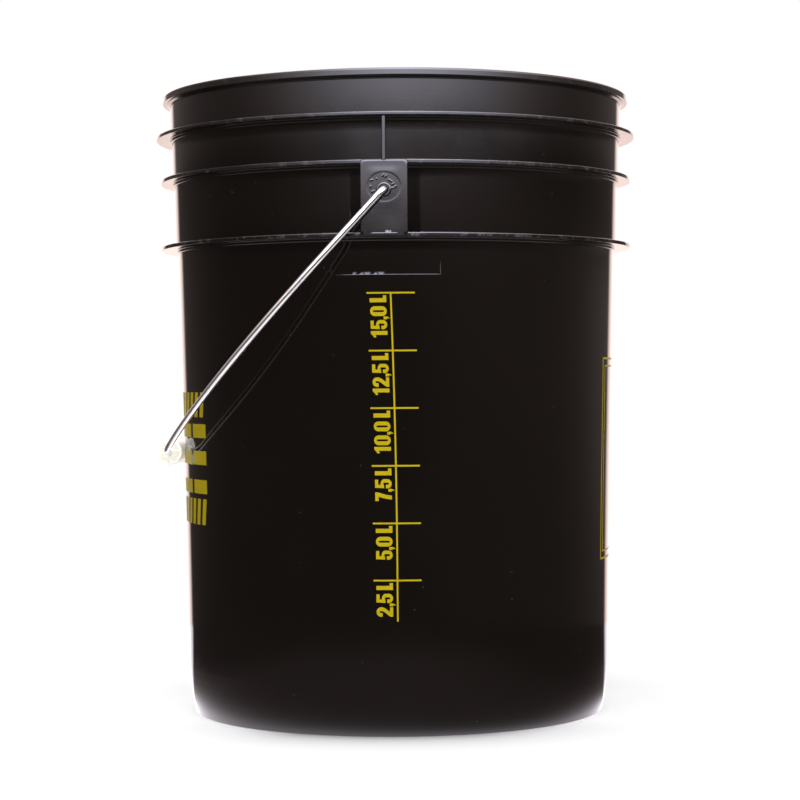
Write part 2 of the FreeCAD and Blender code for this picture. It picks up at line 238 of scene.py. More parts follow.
def evaluated_mesh(thing):
    """The mesh of an object with its modifiers or its curve fill applied."""
    bpy.context.view_layer.update()
    evaluated = thing.evaluated_get(bpy.context.evaluated_depsgraph_get())
    return bpy.data.meshes.new_from_object(evaluated)


def facing_out(mesh, merge=False):
    """The same mesh with its faces turned outward, and with double points merged if asked."""
    work = bmesh.new()
    work.from_mesh(mesh)
    if merge:
        bmesh.ops.remove_doubles(work, verts=work.verts, dist=1e-4)
    bmesh.ops.recalc_face_normals(work, faces=work.faces)
    work.to_mesh(mesh)
    work.free()
    return mesh


def finished_mesh(name, mesh):
    """Clean a closed mesh given in millimetres and put it in the scene in metres."""
    facing_out(mesh, merge=True)
    mesh.transform(Matrix.Scale(MM, 4))
    mesh.polygons.foreach_set("use_smooth", [True] * len(mesh.polygons))
    mesh.set_sharp_from_angle(angle=radians(SHARP_ANGLE))
    return new_object(name, mesh)


def mesh_from(name, points, faces):
    mesh = bpy.data.meshes.new(name)
    mesh.from_pydata([tuple(p) for p in points], [], faces)
    mesh.validate()
    return facing_out(mesh)


def tube_faces(rings):
    """Faces of the tube through equal rings of points."""
    count = len(rings[0])
    faces = []
    for low in range(0, (len(rings) - 1) * count, count):
        high = low + count
        for k in range(count):
            following = (k + 1) % count
            faces.append((low + k, low + following, high + following, high + k))
    return faces


def rings_mesh(name, rings, start, end):
    """Tube through equal rings of points, closed by a fan to a point at each end."""
    count = len(rings[0])
    points = [p for ring in rings for p in ring]
    faces = tube_faces(rings)
    for tip, first in ((start, 0), (end, (len(rings) - 1) * count)):
        points.append(tip)
        for k in range(count):
            faces.append((len(points) - 1, first + k, first + (k + 1) % count))
    return mesh_from(name, points, faces)


def capped_tube(name, rings):
    """Tube through equal rings of points, closed by a flat face at each end."""
    count = len(rings[0])
    points = [p for ring in rings for p in ring]
    caps = [tuple(range(count)), tuple(range(len(points) - count, len(points)))]
    return mesh_from(name, points, caps + tube_faces(rings))


def full_turn(count):
    """Evenly spaced angles once round."""
    return [2 * pi * k / count for k in range(count)]


def rounded(corners):
    """Outline through (radius, height, fillet) corners with each fillet drawn as an arc."""
    points = []
    for index, (radius, height, fillet) in enumerate(corners):
        corner = Vector((radius, height))
        if fillet == 0 or index in (0, len(corners) - 1):
            points.append(corner)
            continue
        back = (Vector(corners[index - 1][:2]) - corner).normalized()
        onward = (Vector(corners[index + 1][:2]) - corner).normalized()
        half = back.angle(onward) / 2
        centre = corner + (back + onward).normalized() * fillet / sin(half)
        reach = fillet / tan(half)
        first = corner + back * reach - centre
        last = corner + onward * reach - centre
        sweep = first.angle(last)
        for step in range(ARC_STEPS + 1):
            t = step / ARC_STEPS
            share = sin((1 - t) * sweep) * first + sin(t * sweep) * last
            points.append(centre + share / sin(sweep))
    return points


def spaced(points, step):
    """The same outline with extra points, so that no gap is wider than step.

    Gaps also get a point close to each end, which keeps flat walls flat beside a fillet.
    """
    result = [points[0]]
    for a, b in zip(points, points[1:]):
        length = (b - a).length
        pieces = max(1, ceil(length / step))
        shares = [k / pieces for k in range(1, pieces + 1)]
        if length > 0.5:
            guard = min(0.15, 0.15 * length)
            shares += [guard / length, 1 - guard / length]
        result += [a + (b - a) * share for share in sorted(shares)]
    return result


def smooth_noise(seed, azimuth, lowest, highest):
    """Seeded periodic noise of about unit size at the given azimuths."""
    terms = 24
    random = np.random.default_rng(seed)
    total = np.zeros(len(azimuth))
    for _ in range(terms):
        waves = random.integers(lowest, highest)
        total += random.normal() * np.sin(waves * azimuth + random.uniform(0, 2 * np.pi))
    return total / sqrt(terms)


def boolean(base, tool, operation):
    """The mesh of base joined with, or cut by, the mesh of tool."""
    objects = [new_object("work", mesh) for mesh in (base, tool)]
    modifier = objects[0].modifiers.new("join", "BOOLEAN")
    modifier.operation = operation
    modifier.solver = "EXACT"
    modifier.object = objects[1]
    result = evaluated_mesh(objects[0])
    for thing in objects:
        bpy.data.objects.remove(thing)
    return result


def joined(name, meshes):
    """One mesh that holds several separate closed ones."""
    work = bmesh.new()
    for mesh in meshes:
        work.from_mesh(mesh)
    result = bpy.data.meshes.new(name)
    work.to_mesh(result)
    work.free()
    return result


def half_turned(mesh):
    """A copy of the mesh turned half round the pail's axis."""
    copy = mesh.copy()
    copy.transform(Matrix.Rotation(pi, 4, "Z"))
    return copy


# ---- moulded shell
def wall_radius(height):
    """Outer radius of the plain wall below the lowest flange."""
    past = height - TAPER_CHANGE_Z
    if abs(past) > TAPER_BLEND:
        opening = max(past, 0.0)
    else:
        opening = (past + TAPER_BLEND) ** 2 / (4 * TAPER_BLEND)
    foot = FOOT_CURVE * max(0.0, 1 - height / FOOT_CURVE_Z) ** 2
    straight = WALL_FOOT_R + LOW_TAPER * (height - WALL_FOOT_Z)
    return straight + (HIGH_TAPER - LOW_TAPER) * opening - foot


def upper_wall_radius(height):
    """Outer radius of the wall between flanges."""
    low, middle, high = FLANGES
    for lower, upper in ((low, middle), (middle, high)):
        if height <= upper[1]:
            share = (height - lower[1]) / (upper[1] - upper[2] - lower[1])
            return lower[4] + share * (upper[3] - lower[4])
    return high[4]


def outer_corners():
    corners = [
        (0, FLOOR_UNDERSIDE, 0), (FOOT_INNER_R, FLOOR_UNDERSIDE, 1.0),
        (FOOT_INNER_R, 0, 0.5), (wall_radius(0), 0, 0.5),
    ]
    wall_start = FOOT_ROWS[-1]
    wall_end = FLANGES[0][1] - FLANGES[0][2] - SHOULDER_HEIGHT - FLARE_HEIGHT
    heights = list(FOOT_ROWS)
    heights += [wall_start + (wall_end - wall_start) * k / WALL_ROWS for k in range(1, WALL_ROWS)]
    corners += [(wall_radius(z), z, 0) for z in heights]
    for index, (radius, top, thick, below, above) in enumerate(FLANGES):
        bottom = top - thick
        shoulder = below + SHOULDER_OUT
        for k in range(FLARE_STEPS):
            share = k / FLARE_STEPS
            z = bottom - SHOULDER_HEIGHT - FLARE_HEIGHT * (1 - share)
            plain = wall_radius(z) if index == 0 else upper_wall_radius(z)
            corners.append((plain + FLARE * share ** 2, z, 0))
        corners += [
            (below + FLARE, bottom - SHOULDER_HEIGHT, 0.4),
            (shoulder - SHOULDER_LEAN, bottom - SHOULDER_HEIGHT, 0.3),
            (shoulder, bottom, 0.4),
            (radius, bottom, 0.35),
            (radius, top, 0.5),
            (above, top, 0.6),
        ]
    corners += [
        (NECK_R, LEDGE_BOTTOM, 0.8),
        (LEDGE_R, LIP_BOTTOM - 0.35, 0.12),
        (LEDGE_R, LIP_BOTTOM, 0.15),
        (RIM_R, LIP_BOTTOM, 0.3),
        (RIM_R, RIM_Z, 1.2),
        (INNER_RIM_R, RIM_Z, 0.8),
    ]
    return corners


def shell_outline():
    corners = outer_corners()
    corners += [(r, z, 0) for r, z in reversed(INNER_WALL[1:-1])]
    corners += [(INNER_WALL[0][0], FLOOR_TOP, FLOOR_FILLET), (0, FLOOR_TOP, 0)]
    return spaced(rounded(corners), ROW_STEP)


def shell_azimuths():
    """Even steps round the pail, with extra ones at the edges of the panels behind the pads."""
    azimuths = list(np.arange(SEGMENTS) * 2 * np.pi / SEGMENTS)
    for past in (-PANEL_EDGE, 0.0, PANEL_EDGE):
        turn = (EAR_PANEL + past) / FLANGES[0][4]
        azimuths += [(ear + side * turn) % (2 * np.pi) for ear in (0, np.pi) for side in (-1, 1)]
    return np.array(sorted(azimuths))


def near_ear(azimuth, half_width):
    """One within half_width of the middle of an ear and nought elsewhere."""
    from_ear = np.abs((azimuth + np.pi / 2) % np.pi - np.pi / 2) * FLANGES[0][4]
    return np.clip((half_width + PANEL_EDGE - from_ear) / (2 * PANEL_EDGE), 0, 1)


def shell_lathe():
    """The pail's body of revolution, with the slight unevenness of a moulding."""
    outline = shell_outline()[1:-1]
    azimuth = shell_azimuths()
    wave_a = smooth_noise(3, azimuth, 2, 9)
    wave_b = smooth_noise(4, azimuth, 3, 14)
    edge_noise = [smooth_noise(10 + k, azimuth, 12, 90) for k in range(len(FLANGES))]
    panel = near_ear(azimuth, EAR_PANEL)
    behind_pad = near_ear(azimuth, EAR_HALF_WIDTH - 2)
    panel_low, panel_high = FLANGES[0][1] + 0.5, FLANGES[1][1] - FLANGES[1][2] - SHOULDER_HEIGHT
    rings = []
    for radius, height in outline:
        radii = np.full(len(azimuth), float(radius))
        if panel_low < height < panel_high and radius > INNER_RIM_R - 2:
            radii -= PANEL_SLOPE * (panel_high - height) * panel
        if radius > FOOT_INNER_R and height > 1:
            blend = 0.5 + 0.5 * sin(height / 38)
            radii += WALL_WAVE * (wave_a * blend + wave_b * (1 - blend))
        heights = np.full(len(azimuth), float(height))
        if height > LEDGE_BOTTOM - 1:
            heights -= RIM_SAG * np.sin(azimuth) ** 2 * (1 + 0.7 * np.sin(azimuth))
        for flange, noise in zip(FLANGES, edge_noise):
            near_edge = flange[1] - flange[2] - 0.1 < height < flange[1] + 0.1
            if near_edge and radius > flange[0] - 1:
                radii += EDGE_WAVE_OUT * noise
                heights += EDGE_WAVE_UP * np.roll(noise, 7)
                if flange is FLANGES[1]:
                    radii -= EDGE_BEHIND_PAD * behind_pad
        rings.append(np.stack([radii * np.sin(azimuth), -radii * np.cos(azimuth), heights], axis=1))
    return rings_mesh("shell_lathe", rings, (0, 0, FLOOR_UNDERSIDE), (0, 0, FLOOR_TOP))


def ear_angles():
    """Directions round the pivot, with one exactly at each corner of the pad."""
    angles = np.arange(EAR_POINTS) * 2 * np.pi / EAR_POINTS
    for x in (-EAR_HALF_WIDTH, EAR_HALF_WIDTH):
        for z in (EAR_BOTTOM, EAR_TOP):
            corner = atan2(z - PIVOT_Z, x) % (2 * np.pi)
            angles[np.argmin(abs(angles - corner))] = corner
    return angles


def pad_reach(angle, inset):
    """Distance from the pivot to the pad's rounded outline, drawn in by inset."""
    dx, dz = cos(angle), sin(angle)
    half = EAR_HALF_WIDTH - inset
    top = EAR_TOP - PIVOT_Z - inset
    bottom = EAR_BOTTOM - PIVOT_Z
    reach = half / max(abs(dx), 1e-9)
    if dz:
        reach = min(reach, (top if dz > 0 else bottom) / dz)
    x, z = reach * dx, reach * dz
    cx, cz = copysign(half - EAR_CORNER, x), top - EAR_CORNER
    if z > cz and abs(x) > abs(cx):
        # where the ray meets the corner's circle
        along = cx * dx + cz * dz
        off = along ** 2 - (cx * cx + cz * cz - EAR_CORNER ** 2)
        reach = along + sqrt(max(off, 0))
    return reach


def pad_relief(x, z):
    """How far the pad's face stands proud at x across and z above the pivot."""
    across = x / MARK_HALF[0]
    up = (z - MARK_RISE) / MARK_HALF[1]
    inside = 1 - hypot(across, up)
    recess = MARK_DEPTH / (1 + exp(-inside * MARK_SHARPNESS))
    dish = 0.065 * exp(-(x / 8.5) ** 4) / (1 + exp((12.4 - z) / 0.7))
    hollow = 0.03 * exp(-((z + 14) / 9) ** 2 - ((x - 4) / 8) ** 2)
    marks = 0.0
    for mx, mz, length, lean in PAD_MARKS:
        dx, dz = x - mx, z - mz
        along = dx * cos(lean) + dz * sin(lean)
        beside = -dx * sin(lean) + dz * cos(lean)
        over = max(abs(along) - length / 2, 0)
        marks += DASH_RISE * exp(-(over / 0.25) ** 2 - (beside / 0.32) ** 2)
    return marks - recess - dish - hollow


def pad_point(angle, reach, depth):
    return (reach * cos(angle), -depth, PIVOT_Z + reach * sin(angle))


def face_ring(angles, reach_at, drop=0.0):
    """Ring on the pad's face, at the reach that reach_at gives for each direction."""
    ring = []
    for a in angles:
        reach = reach_at(a)
        relief = pad_relief(reach * cos(a), reach * sin(a))
        ring.append(pad_point(a, reach, EAR_FACE - drop + relief))
    return ring


def ear_pad():
    """Flat pad with its boss, pivot hole and round recess, for the ear at -Y."""
    angles = ear_angles()
    front = EAR_FACE + BOSS_PROUD
    turned = [
        (BORE_R, BORE_BOTTOM), (BORE_R, 149.0), (BORE_R, front - MOUTH_DEPTH),
        (BORE_R + 0.25, front - 0.35), (MOUTH_R, front - 0.06), (MOUTH_R + 0.25, front),
        (BOSS_R - 0.5, front), (BOSS_R - 0.2, front - 0.08), (BOSS_R - 0.05, front - 0.22),
        (BOSS_R, front - 0.4),
    ]
    rings = [[pad_point(a, r, depth) for a in angles] for r, depth in turned]
    for radius in [4.4, 4.6] + list(np.arange(4.9, FACE_REACH, 0.28)) + [FACE_REACH]:
        rings.append(face_ring(angles, lambda a: radius))
    for step in range(1, FACE_SPREAD + 1):
        def spread(a):
            return FACE_REACH + (pad_reach(a, EAR_EDGE) - FACE_REACH) * step / FACE_SPREAD
        rings.append(face_ring(angles, spread))
    for turn in (22.5, 45, 67.5, 90):
        t = radians(turn)
        inset = EAR_EDGE * (1 - sin(t))
        drop = EAR_EDGE * (1 - cos(t))
        rings.append(face_ring(angles, lambda a: pad_reach(a, inset), drop))
    for share in (1.0, 0.66, 0.33):
        ring = []
        for a in angles:
            x, _, z = pad_point(a, pad_reach(a, 0) * share, 0)
            buried = upper_wall_radius(z) - WALL / 2
            ring.append((x, -sqrt(buried ** 2 - x ** 2), z))
        rings.append(ring)
    back = (0, -(upper_wall_radius(PIVOT_Z) - WALL / 2), PIVOT_Z)
    return rings_mesh("pad", rings, (0, -BORE_BOTTOM, PIVOT_Z), back)


def ear_rib():
    """Upright rib between the two upper flanges, over the ear, with its outer edges cut off."""
    _, middle, high = FLANGES
    cut = 0.4
    front, back = -RIB_OUT, -(middle[4] - 1.0)
    loop = [
        (-RIB_HALF + cut, front), (RIB_HALF - cut, front), (RIB_HALF, front + cut),
        (RIB_HALF, back), (-RIB_HALF, back), (-RIB_HALF, front + cut),
    ]
    heights = (middle[1] - 0.5, high[1] - high[2] + 0.5)
    return capped_tube("rib", [[(x, y, z) for x, y in loop] for z in heights])


def on_cylinder(s, z, radius, rise, azimuth=0.0):
    """Point at arc length s from the azimuth, standing rise above that radius."""
    turn = radians(azimuth) + s / radius
    return ((radius + rise) * sin(turn), -(radius + rise) * cos(turn), z)


def ridge(path, radius_at):
    """Thin raised line along (s, z) points of the wall."""
    rise = WITNESS_RISE
    section = ((1, -0.5), (1, rise * 0.4), (0.4, rise), (-0.4, rise), (-1, rise * 0.4), (-1, -0.5))
    rings = []
    for index, (s, z) in enumerate(path):
        before = Vector(path[max(index - 1, 0)])
        after = Vector(path[min(index + 1, len(path) - 1)])
        here = Vector((s, z))
        leaving = (after - here).normalized() if after != here else (here - before).normalized()
        coming = (here - before).normalized() if before != here else leaving
        mean = (leaving + coming).normalized()
        side = Vector((-mean.y, mean.x)) * WITNESS_HALF_LINE / max(mean.dot(leaving), 0.4)
        ring = []
        for across, up in section:
            q = here + side * across
            ring.append(on_cylinder(q.x, q.y, radius_at(z), up))
        rings.append(ring)
    return capped_tube("ridge", rings)


def witness_lines():
    """Faint lines where the ear's insert met the rest of the mould."""
    low, middle, high = FLANGES
    left, right, bottom = -WITNESS_HALF_WIDTH, WITNESS_HALF_WIDTH, WITNESS_BOTTOM
    under = low[1] - low[2] - SHOULDER_HEIGHT - 0.3
    u_path = [(left, under), (left, (under + bottom) / 2), (left, bottom)]
    u_path += [(left + (right - left) * k / 16, bottom) for k in range(1, 16)]
    u_path += [(right, bottom), (right, (under + bottom) / 2), (right, under)]
    meshes = [ridge(u_path, wall_radius)]
    for lower, upper in ((low, middle), (middle, high)):
        for s in (left, right):
            start = lower[1] + 0.8
            end = upper[1] - upper[2] - SHOULDER_HEIGHT - 0.3
            path = [(s, start + (end - start) * k / 4) for k in range(5)]
            meshes.append(ridge(path, upper_wall_radius))
    return meshes


def bucket_shell():
    """The pail with both ears; ribs and witness lines are added after the pads."""
    shell = shell_lathe()
    for name, meshes in (("pads", [ear_pad()]), ("details", [ear_rib()] + witness_lines())):
        both_sides = meshes + [half_turned(mesh) for mesh in meshes]
        shell = boolean(shell, joined(name, both_sides), "UNION")
    return finished_mesh("pail_shell", shell)


# ---- wire and grip
def swing_angle():
    """How far the bail stands out from hanging straight down, from the grip's axis."""
    return atan2(-GRIP_X, PIVOT_Z - GRIP_Z)


def bail_bend_radii(depth):
    """Radii of the wide and the tight bend that join the leg to the straight middle."""
    across = LEG_Y - GRIP_STRAIGHT
    down = depth - LEG_STRAIGHT
    s, c = SHOULDER_SIN, SHOULDER_COS
    determinant = (1 - c) * (1 - s) - c * s
    wide = (across * (1 - s) - c * down) / determinant
    tight = ((1 - c) * down - s * across) / determinant
    return wide, tight


def half_bail_line(depth):
    """Points (y, drop) of the bail's -Y half from its tip to the middle, and the heading there."""
    wide, tight = bail_bend_radii(depth)
    line = []

    def straight(y0, d0, y1, d1, count, heading):
        for k in range(count):
            t = k / count
            line.append((y0 + (y1 - y0) * t, d0 + (d1 - d0) * t, heading))

    def bend(cy, cd, radius, start, end, count):
        for k in range(count):
            a = radians(start + (end - start) * k / count)
            line.append((cy - radius * cos(a), cd + radius * sin(a), a))

    turn_y = -LEG_Y + TURN_R
    wide_y = -LEG_Y + wide
    tight_y = wide_y - (wide - tight) * SHOULDER_COS
    tight_drop = LEG_STRAIGHT + (wide - tight) * SHOULDER_SIN
    straight(-TIP_Y, 0, turn_y, 0, 4, radians(-90))
    bend(turn_y, TURN_R, TURN_R, -90, 0, 14)
    straight(-LEG_Y, TURN_R, -LEG_Y, LEG_STRAIGHT, 8, 0)
    bend(wide_y, LEG_STRAIGHT, wide, 0, SHOULDER_ANGLE, 60)
    bend(tight_y, tight_drop, tight, SHOULDER_ANGLE, 90, 20)
    straight(-GRIP_STRAIGHT, depth, 0, depth, 8, radians(90))
    return line


def bail_wire():
    """Round wire swept along the bail's line; the last rings at each tip round it off."""
    swing = swing_angle()
    depth = hypot(GRIP_X, PIVOT_Z - GRIP_Z)
    half = half_bail_line(depth)
    mirrored = [(-y, drop, pi - heading) for y, drop, heading in reversed(half)]
    line = half + [(0.0, depth, pi / 2)] + mirrored
    out = Vector((cos(swing), 0, -sin(swing)))
    down = Vector((-sin(swing), 0, -cos(swing)))
    across = Vector((0, 1, 0))
    rings = []
    for index, (y, drop, heading) in enumerate(line):
        place = Vector((0, y, PIVOT_Z)) + down * drop
        forward = across * sin(heading) + down * cos(heading)
        side = forward.cross(out)
        steps = [(0.0, 1.0)]
        if index == 0:
            steps = TIP_STEPS
        elif index == len(line) - 1:
            steps = [(-back, share) for back, share in reversed(TIP_STEPS)]
        for along, share in steps:
            ring = []
            for a in full_turn(WIRE_SIDES):
                spoke = out * cos(a) + side * sin(a)
                ring.append(place + forward * along + spoke * WIRE_R * share)
            rings.append(ring)
    tips = [(0, line[end][0], PIVOT_Z) for end in (0, -1)]
    return finished_mesh("bail_wire_drawn", rings_mesh("wire", rings, *tips))


def around_grip(along, radius, angle):
    """Point by its distance along the grip, its radius and its angle round the grip's axis."""
    return (GRIP_X + radius * sin(angle), along, GRIP_Z + radius * cos(angle))


def grip_barrel():
    half = GRIP_LENGTH / 2
    profile = [
        (0.01, -half, 0), (COLLAR_R, -half, 0.5), (COLLAR_R, -half + COLLAR_LENGTH, 0.4),
        (BARREL_R, -half + COLLAR_LENGTH, 0.25), (BARREL_R, half - COLLAR_LENGTH, 0.25),
        (COLLAR_R, half - COLLAR_LENGTH, 0.4), (COLLAR_R, half, 0.5), (0.01, half, 0),
    ]
    rings = []
    for radius, along in spaced(rounded(profile), 4.0)[1:-1]:
        rings.append([around_grip(along, radius, a) for a in full_turn(BARREL_SIDES)])
    return rings_mesh("barrel", rings, (GRIP_X, -half, GRIP_Z), (GRIP_X, half, GRIP_Z))


def grip_pocket(turn):
    """One of the hollows between two webs, slightly wider at both ends."""
    half = GRIP_LENGTH / 2
    quarter = 2 * pi / WEB_COUNT
    rings = []
    for along, grow in (
        (-half - 1, 0.45), (-half, 0.35), (-half + 0.6, 0.0),
        (half - 0.6, 0.0), (half, 0.35), (half + 1, 0.45),
    ):
        low, high = HUB_R - grow, BARREL_R - BARREL_WALL + grow
        web = WEB_THICKNESS / 2 - grow
        a_low, a_high = asin(web / low), asin(web / high)
        ring = []
        for k in range(POCKET_STEPS + 1):
            angle = turn + a_high + (quarter - 2 * a_high) * k / POCKET_STEPS
            ring.append(around_grip(along, high, angle))
        for k in range(POCKET_STEPS + 1):
            angle = turn + quarter - a_low - (quarter - 2 * a_low) * k / POCKET_STEPS
            ring.append(around_grip(along, low, angle))
        rings.append(ring)
    return capped_tube("pocket", rings)


def grip_bore():
    """The hole for the wire, slightly wider at both ends."""
    half = GRIP_LENGTH / 2
    rings = []
    for along, grow in (
        (-half - 1, 0.4), (-half, 0.3), (-half + 0.5, 0),
        (half - 0.5, 0), (half, 0.3), (half + 1, 0.4),
    ):
        rings.append([around_grip(along, GRIP_BORE_R + grow, a) for a in full_turn(BORE_SIDES)])
    ends = [(GRIP_X, along, GRIP_Z) for along in (-half - 1, half + 1)]
    return rings_mesh("bore", rings, *ends)


def hand_grip():
    first_web = radians(WEB_TURN) + pi / 2 + swing_angle()
    pockets = []
    for k in range(WEB_COUNT):
        pockets.append(grip_pocket(first_web + k * 2 * pi / WEB_COUNT))
    grip = boolean(grip_barrel(), joined("pockets", pockets + [grip_bore()]), "DIFFERENCE")
    return finished_mesh("grip_moulded", grip)


# ---- ink on the wall
def ink_film(name, shapes, place):
    """Thin closed film on the wall from flat (s, z) outlines.

    Each shape is a list of loops, the first its outside and the rest its holes.
    """
    curve = bpy.data.curves.new(name, "CURVE")
    curve.dimensions = "2D"
    curve.fill_mode = "BOTH"
    curve.extrude = 0.5
    for loops in shapes:
        for loop in loops:
            spline = curve.splines.new("POLY")
            spline.points.add(len(loop) - 1)
            spline.points.foreach_set("co", [c for s, z in loop for c in (s, z, 0, 1)])
            spline.use_cyclic_u = True
    holder = new_object(name, curve)
    mesh = evaluated_mesh(holder)
    bpy.data.objects.remove(holder)
    work = bmesh.new()
    work.from_mesh(mesh)
    bmesh.ops.remove_doubles(work, verts=work.verts, dist=1e-3)
    for axis, step in ((0, SLICE_ROUND), (1, SLICE_UP)):
        normal = Vector((0, 0, 0))
        normal[axis] = 1
        values = [v.co[axis] for v in work.verts]
        first = floor(min(values) / step) + 1
        last = ceil(max(values) / step)
        for k in range(first, last):
            geometry = work.verts[:] + work.edges[:] + work.faces[:]
            bmesh.ops.bisect_plane(
                work, geom=geometry, dist=1e-4, plane_co=normal * k * step, plane_no=normal)
    bmesh.ops.triangulate(work, faces=work.faces)
    for v in work.verts:
        rise = INK_TOP if v.co.z > 0 else -INK_SUNK
        v.co = Vector(place(v.co.x, v.co.y, rise))
    work.to_mesh(mesh)
    work.free()
    return finished_mesh(name, mesh)


def rectangle(s_low, s_high, z_low, z_high):
    return [(s_low, z_low), (s_high, z_low), (s_high, z_high), (s_low, z_high)]


def lean_at(z):
    """How far the printed spine stands toward -X of its foot at a height."""
    share = (z - TICK_Z[-1]) / (TICK_Z[0] - TICK_Z[-1])
    return SCALE_OFFSET - SCALE_LEAN * share * abs(share)


def on_scale(s, z, rise):
    return on_cylinder(s + lean_at(z), z, wall_radius(z), rise, SCALE_AZIMUTH)


def graduation_lines():
    """The spine with its six ticks as one comb-shaped outline."""
    half = LINE_WIDTH / 2
    right = [(half, SPINE_BOTTOM)]
    left = [(-half, SPINE_BOTTOM)]
    for z in reversed(TICK_Z):
        for side, edge in ((1, right), (-1, left)):
            edge += [(side * half, z - half), (side * TICK_HALF, z - half)]
            edge += [(side * TICK_HALF, z + half), (side * half, z + half)]
    return ink_film("scale_lines", [[right + left[::-1]]], on_scale)


def arc_points(cx, cy, rx, ry, start, end, count):
    """Points on an ellipse between two angles in degrees."""
    result = []
    for k in range(count + 1):
        a = radians(start + (end - start) * k / count)
        result.append((cx + rx * cos(a), cy + ry * sin(a)))
    return result


def fitted(outline):
    """Stretch an outline upright so that it just spans the cap height."""
    low = min(y for _, y in outline)
    high = max(y for _, y in outline)
    return [(x, (y - low) * CAP_HEIGHT / (high - low)) for x, y in outline]


def glyph_zero(h):
    w, half_slit = 5.8, 0.575
    r = w / 2
    outline = arc_points(r, r, r, r * 0.8, 180, 360, 12)
    outline += arc_points(r, h - r, r, r * 0.8, 0, 180, 12)
    hole = arc_points(r, 2.1, half_slit, 0.45, 180, 360, 6)
    hole += arc_points(r, h - 2.1, half_slit, 0.45, 0, 180, 6)
    return w, [fitted(outline), hole]


def glyph_one(h):
    outline = [(1.5, 0), (3.8, 0), (3.8, h), (2.2, h), (1.3, h - 1.0), (0, h - 1.75)]
    return 3.8, [outline + [(0, h - 3.2), (1.5, h - 2.75)]]


def glyph_two(h):
    w = 5.6
    outline = [(0, 0), (w, 0), (w, 1.9), (2.9, 1.9), (4.1, 3.5), (5.1, 4.9), (w, 6.3)]
    outline += arc_points(w / 2, h - 2.6, w / 2, 2.6, 0, 180, 12)
    outline += [(0, h - 3.6), (2.2, h - 3.6)]
    outline += arc_points(2.8, h - 2.45, 0.6, 0.65, 180, 0, 6)
    return w, [outline + [(3.4, h - 3.3), (2.6, h - 5.0), (0.9, 2.9), (0, 1.5)]]


def glyph_five(h):
    w = 5.5
    outline = [(0, 3.5), (2.15, 3.5)]
    outline += arc_points(2.78, 2.35, 0.63, 0.7, 180, 360, 6)
    outline += arc_points(2.78, 4.35, 0.63, 0.7, 0, 90, 4)
    outline += [(2.2, 4.75), (0.1, 4.45), (0.35, h), (w - 0.3, h), (w - 0.3, h - 1.9)]
    outline += [(2.2, h - 1.9), (2.15, 6.45), (3.0, 6.75)]
    outline += arc_points(3.0, 4.5, 2.5, 2.0, 80, 0, 6)
    return w, [outline + arc_points(w / 2, 2.5, w / 2, 2.5, 0, -180, 14)]


def glyph_seven(h):
    w = 5.2
    outline = [(0.9, 0), (3.2, 0), (3.7, 3.2), (4.5, 6.0), (w, h - 1.6), (w, h), (0, h)]
    return w, [outline + [(0, h - 2.0), (2.6, h - 2.0), (1.8, 5.2), (1.2, 2.6)]]


def glyph_comma(_):
    return 1.7, [[(0, 0), (0.75, 0), (0.5, -1.5), (1.0, -1.5), (1.75, 0.2), (1.75, 2.0), (0, 2.0)]]


def glyph_letter(h):
    return 4.1, [[(0, 0), (4.1, 0), (4.1, 2.0), (2.45, 2.0), (2.45, h), (0, h)]]


# Each character's outlines, and the gap after it
GLYPHS = {
    "0": (glyph_zero, 0.45), "1": (glyph_one, 1.0), "2": (glyph_two, 0.55), "5": (glyph_five, 0.35),
    "7": (glyph_seven, 0.35), ",": (glyph_comma, 0.3), "L": (glyph_letter, 0.0),
}
WORD_SPACE = 1.9


def label_glyphs(text):
    """(start, loops) of each glyph along the label, and the label's length."""
    placed = []
    start = 0.0
    for character in text:
        if character == " ":
            start += WORD_SPACE
            continue
        glyph, gap = GLYPHS[character]
        width, loops = glyph(CAP_HEIGHT)
        placed.append((start, loops))
        start += width + gap
    return placed, start


def graduation_numerals():
    """Volume labels that read upward, with their baselines along the left of the spine."""
    shapes = []
    for text, tick in zip(LABELS, TICK_Z):
        placed, length = label_glyphs(text)
        foot = tick - LABEL_DROP - length
        for start, loops in placed:
            shape = []
            for loop in loops:
                shape.append([(-BASELINE_OFFSET - y, foot + start + x) for x, y in loop])
            shapes.append(shape)
    return ink_film("scale_numerals", shapes, on_scale)


def side_place(azimuth, reference_z):
    """Prints at the sides keep their angle round the pail at every height."""
    reference = wall_radius(reference_z)

    def place(s, z, rise):
        radius = wall_radius(z)
        return on_cylinder(s * radius / reference, z, radius, rise, azimuth)

    return place


def side_stripe_print():
    """Three rows of plain blocks between two bands of slanted stripes."""
    reference_z = 165.0
    half = radians(STRIPE_HALF) * wall_radius(reference_z)
    slant = tan(radians(HATCH_SLANT))
    gap = radians(BLOCK_GAP) * wall_radius(reference_z)
    width = (2 * half + gap) / BLOCK_COUNT - gap
    shapes = []
    for low, high in BLOCK_BANDS:
        for index in range(BLOCK_COUNT):
            left = -half + index * (width + gap)
            shapes.append([rectangle(left, left + width, low, high)])
    for low, high in HATCH_BANDS:
        middle = (low + high) / 2
        count = int(2 * half / HATCH_PITCH)
        for index in range(count):
            s = (index - (count - 1) / 2) * HATCH_PITCH
            left, right = s - HATCH_WIDTH / 2, s + HATCH_WIDTH / 2
            lean_low, lean_high = (low - middle) * slant, (high - middle) * slant
            shapes.append([[
                (left + lean_low, low), (right + lean_low, low),
                (right + lean_high, high), (left + lean_high, high),
            ]])
    return ink_film("side_stripes", shapes, side_place(STRIPE_CENTRE, reference_z))


